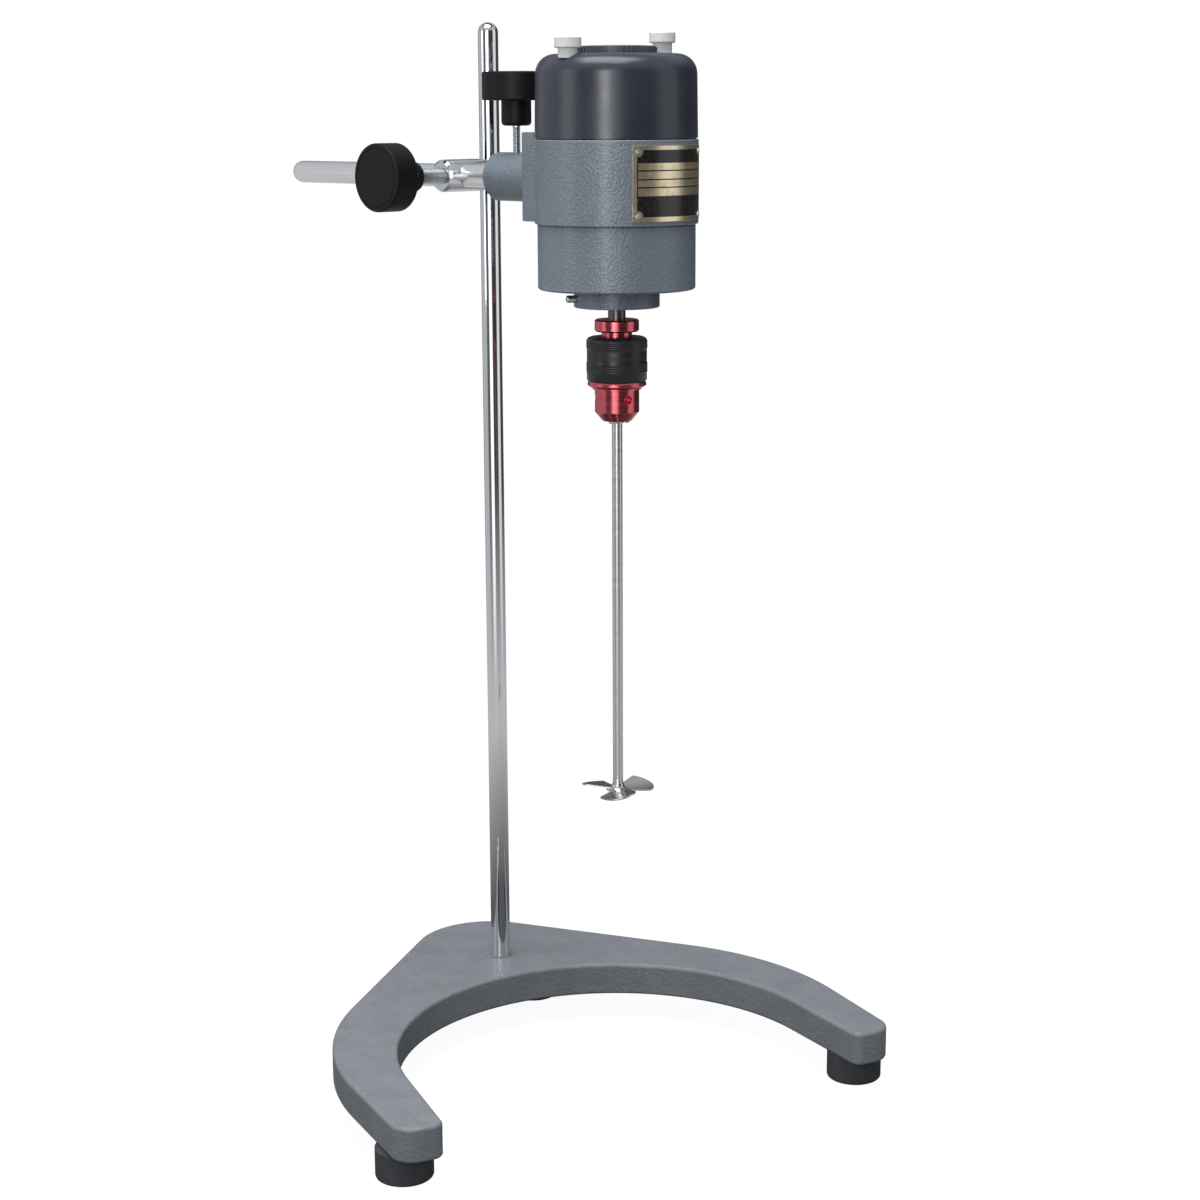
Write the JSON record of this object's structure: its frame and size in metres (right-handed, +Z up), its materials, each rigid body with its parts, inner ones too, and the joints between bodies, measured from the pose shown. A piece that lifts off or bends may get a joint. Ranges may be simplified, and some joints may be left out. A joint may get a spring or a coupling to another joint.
{
  "type": "overhead stirrer",
  "caption": "Laboratory overhead stirrer: a vertical motor with a keyed chuck, shaft and leaf propeller, held by an arm and cross clamp on a rod stand with a horseshoe base.",
  "frame": {"origin": "on the surface that the feet stand on, under the middle of the outline", "axes": "+Z up along the stand rod, +Y towards the back of the base, the horseshoe opens towards -Y, +X to the right seen from the front"},
  "size_m": [0.43, 0.4746, 0.826],
  "materials": {
    "grey_base_paint": "semi-gloss grey enamel on a casting",
    "dark_cap": "smooth semi-gloss dark grey paint",
    "black_cover": "moulded black plastic",
    "foot_rubber": "dusty black rubber",
    "zinc_steel": "bright zinc plate",
    "chrome": "polished chrome plate",
    "satin_bar": "satin ground bar",
    "knob_black": "black moulded phenolic",
    "white_nylon": "white nylon",
    "brass_plate": "brass with black enamel fields",
    "rivet_metal": "bright rivets",
    "red_anodised": "red finish over turned steel",
    "black_grip": "black knurled steel",
    "blued_steel": "dark oiled steel",
    "stainless": "ground stainless steel",
    "copper_wire": "enamelled winding wire",
    "lamination": "stacked sheet steel",
    "carbon": "carbon",
    "cast_aluminium": "as cast",
    "bearing_steel": "ground bearing steel",
    "black_moulding": "black moulded plastic",
    "cast_aluminium_painted": "grey hammertone enamel on an aluminium casting"
  },
  "bodies": {
    "base": {"base_casting": "grey_base_paint", "foot_front_left": "foot_rubber", "foot_front_right": "foot_rubber", "foot_rear_left": "foot_rubber", "foot_rear_right": "foot_rubber", "foot_screws": "zinc_steel"},
    "rod": {"stand_rod": "chrome", "rod_washer": "zinc_steel", "rod_nut": "zinc_steel"},
    "clamp": {"cross_clamp": "chrome", "clamp_end_cap": "chrome", "rod_set_screw": "blued_steel"},
    "side_pad_body": {"side_pad": "rivet_metal"},
    "side_knob_body": {"side_screw": "zinc_steel", "side_knob": "knob_black"},
    "arm": {"support_arm": "satin_bar"},
    "motor": {"mid_housing": "cast_aluminium_painted", "top_cap": "dark_cap", "lower_housing": "cast_aluminium_painted", "bearing_collar": "cast_aluminium_painted", "collar_screw": "zinc_steel", "vent_cover": "black_cover", "nameplate": "brass_plate", "nameplate_rivets": "rivet_metal", "cable_gland": "black_moulding", "housing_bolts": "zinc_steel", "stator_core": "lamination", "field_coils": "copper_wire", "bearing_bracket": "cast_aluminium", "carbon_brushes": "carbon", "brush_holders": "black_moulding", "upper_bearing_outer_ring": "bearing_steel", "upper_bearing_balls": "bearing_steel", "lower_bearing_outer_ring": "bearing_steel", "lower_bearing_balls": "bearing_steel"},
    "cap_screw_left_body": {"cap_screw_left": "white_nylon"},
    "cap_screw_right_body": {"cap_screw_right": "white_nylon"},
    "top_pad_body": {"top_pad": "rivet_metal"},
    "top_knob_body": {"top_screw": "zinc_steel", "top_knob": "knob_black"},
    "rotor": {"spindle": "blued_steel", "armature_core": "lamination", "armature_winding": "copper_wire", "commutator": "copper_wire", "cooling_fan": "black_moulding", "upper_bearing_inner_ring": "bearing_steel", "lower_bearing_inner_ring": "bearing_steel", "chuck_body": "red_anodised", "chuck_top_ring": "red_anodised", "chuck_flange_ring": "red_anodised"},
    "chuck_grip": {"chuck_sleeve": "black_grip", "jaw_nut": "blued_steel"},
    "jaw_1_body": {"jaw_1": "blued_steel"},
    "jaw_2_body": {"jaw_2": "blued_steel"},
    "jaw_3_body": {"jaw_3": "blued_steel"},
    "stirrer": {"stirrer_shaft": "stainless", "propeller": "stainless"}
  },
  "joints": [
    {"name": "swivel", "type": "hinge", "parent": "base", "child": "rod", "pos_m": [0, 0.05166, 0.05], "axis": [0, 0, 1], "range_deg": [-60, 60]},
    {"name": "height", "type": "slide", "parent": "rod", "child": "clamp", "axis": [0, 0, 1], "range_m": [-0.15, 0.09]},
    {"name": "side_pad_slide", "type": "slide", "parent": "clamp", "child": "side_pad_body", "axis": [-0.9494, -0.314, 0], "range_m": [0, 0.0036]},
    {"name": "side_knob_turn", "type": "hinge", "parent": "side_pad_body", "child": "side_knob_body", "pos_m": [-0.0883, 0.02246, 0.708], "axis": [-0.9494, -0.314, 0], "range_deg": [0, 720]},
    {"name": "arm_slide", "type": "slide", "parent": "clamp", "child": "arm", "axis": [0.314, -0.9494, 0], "range_m": [-0.025, 0.12]},
    {"name": "motor_tilt", "type": "hinge", "parent": "arm", "child": "motor", "pos_m": [-0.03133, 0.0413, 0.708], "axis": [0.314, -0.9494, 0], "range_deg": [-30, 30]},
    {"name": "top_pad_slide", "type": "slide", "parent": "motor", "child": "top_pad_body", "axis": [0, 0, 1], "range_m": [0, 0.0052]},
    {"name": "top_knob_turn", "type": "hinge", "parent": "top_pad_body", "child": "top_knob_body", "pos_m": [-0.01029, -0.02231, 0.758], "axis": [0, 0, 1], "range_deg": [0, 1800]},
    {"name": "cap_screw_left_turn", "type": "hinge", "parent": "motor", "child": "cap_screw_left_body", "pos_m": [-0.02322, -0.13928, 0.803], "axis": [0, 0, 1], "range_deg": [0, 360]},
    {"name": "cap_screw_right_turn", "type": "hinge", "parent": "motor", "child": "cap_screw_right_body", "pos_m": [0.06983, -0.10851, 0.803], "axis": [0, 0, 1], "range_deg": [0, 360]},
    {"name": "spin", "type": "hinge", "parent": "motor", "child": "rotor", "pos_m": [0.0233, -0.1239, 0.618], "axis": [0, 0, 1], "continuous": true},
    {"name": "sleeve_turn", "type": "hinge", "parent": "rotor", "child": "chuck_grip", "pos_m": [0.0233, -0.1239, 0.578], "axis": [0, 0, 1], "range_deg": [0, 1440]},
    {"name": "jaw_1_slide", "type": "slide", "parent": "rotor", "child": "jaw_1_body", "axis": [0.1243, -0.0625, 0.9903], "range_m": [0, 0.0051]},
    {"name": "jaw_2_slide", "type": "slide", "parent": "rotor", "child": "jaw_2_body", "axis": [-0.008, 0.1389, 0.9903], "range_m": [0, 0.0051]},
    {"name": "jaw_3_slide", "type": "slide", "parent": "rotor", "child": "jaw_3_body", "axis": [-0.1163, -0.0764, 0.9903], "range_m": [0, 0.0051]},
    {"name": "shaft_slide", "type": "slide", "parent": "rotor", "child": "stirrer", "axis": [0, 0, -1], "range_m": [0, 0.02]}
  ],
  "couplings": [
    {"joint": "side_pad_slide", "follows": "side_knob_turn", "m_per_rad": 0.00027852},
    {"joint": "top_pad_slide", "follows": "top_knob_turn", "m_per_rad": 0.00015915},
    {"joint": "jaw_1_slide", "follows": "sleeve_turn", "m_per_rad": 0.00019894},
    {"joint": "jaw_2_slide", "follows": "sleeve_turn", "m_per_rad": 0.00019894},
    {"joint": "jaw_3_slide", "follows": "sleeve_turn", "m_per_rad": 0.00019894}
  ]
}
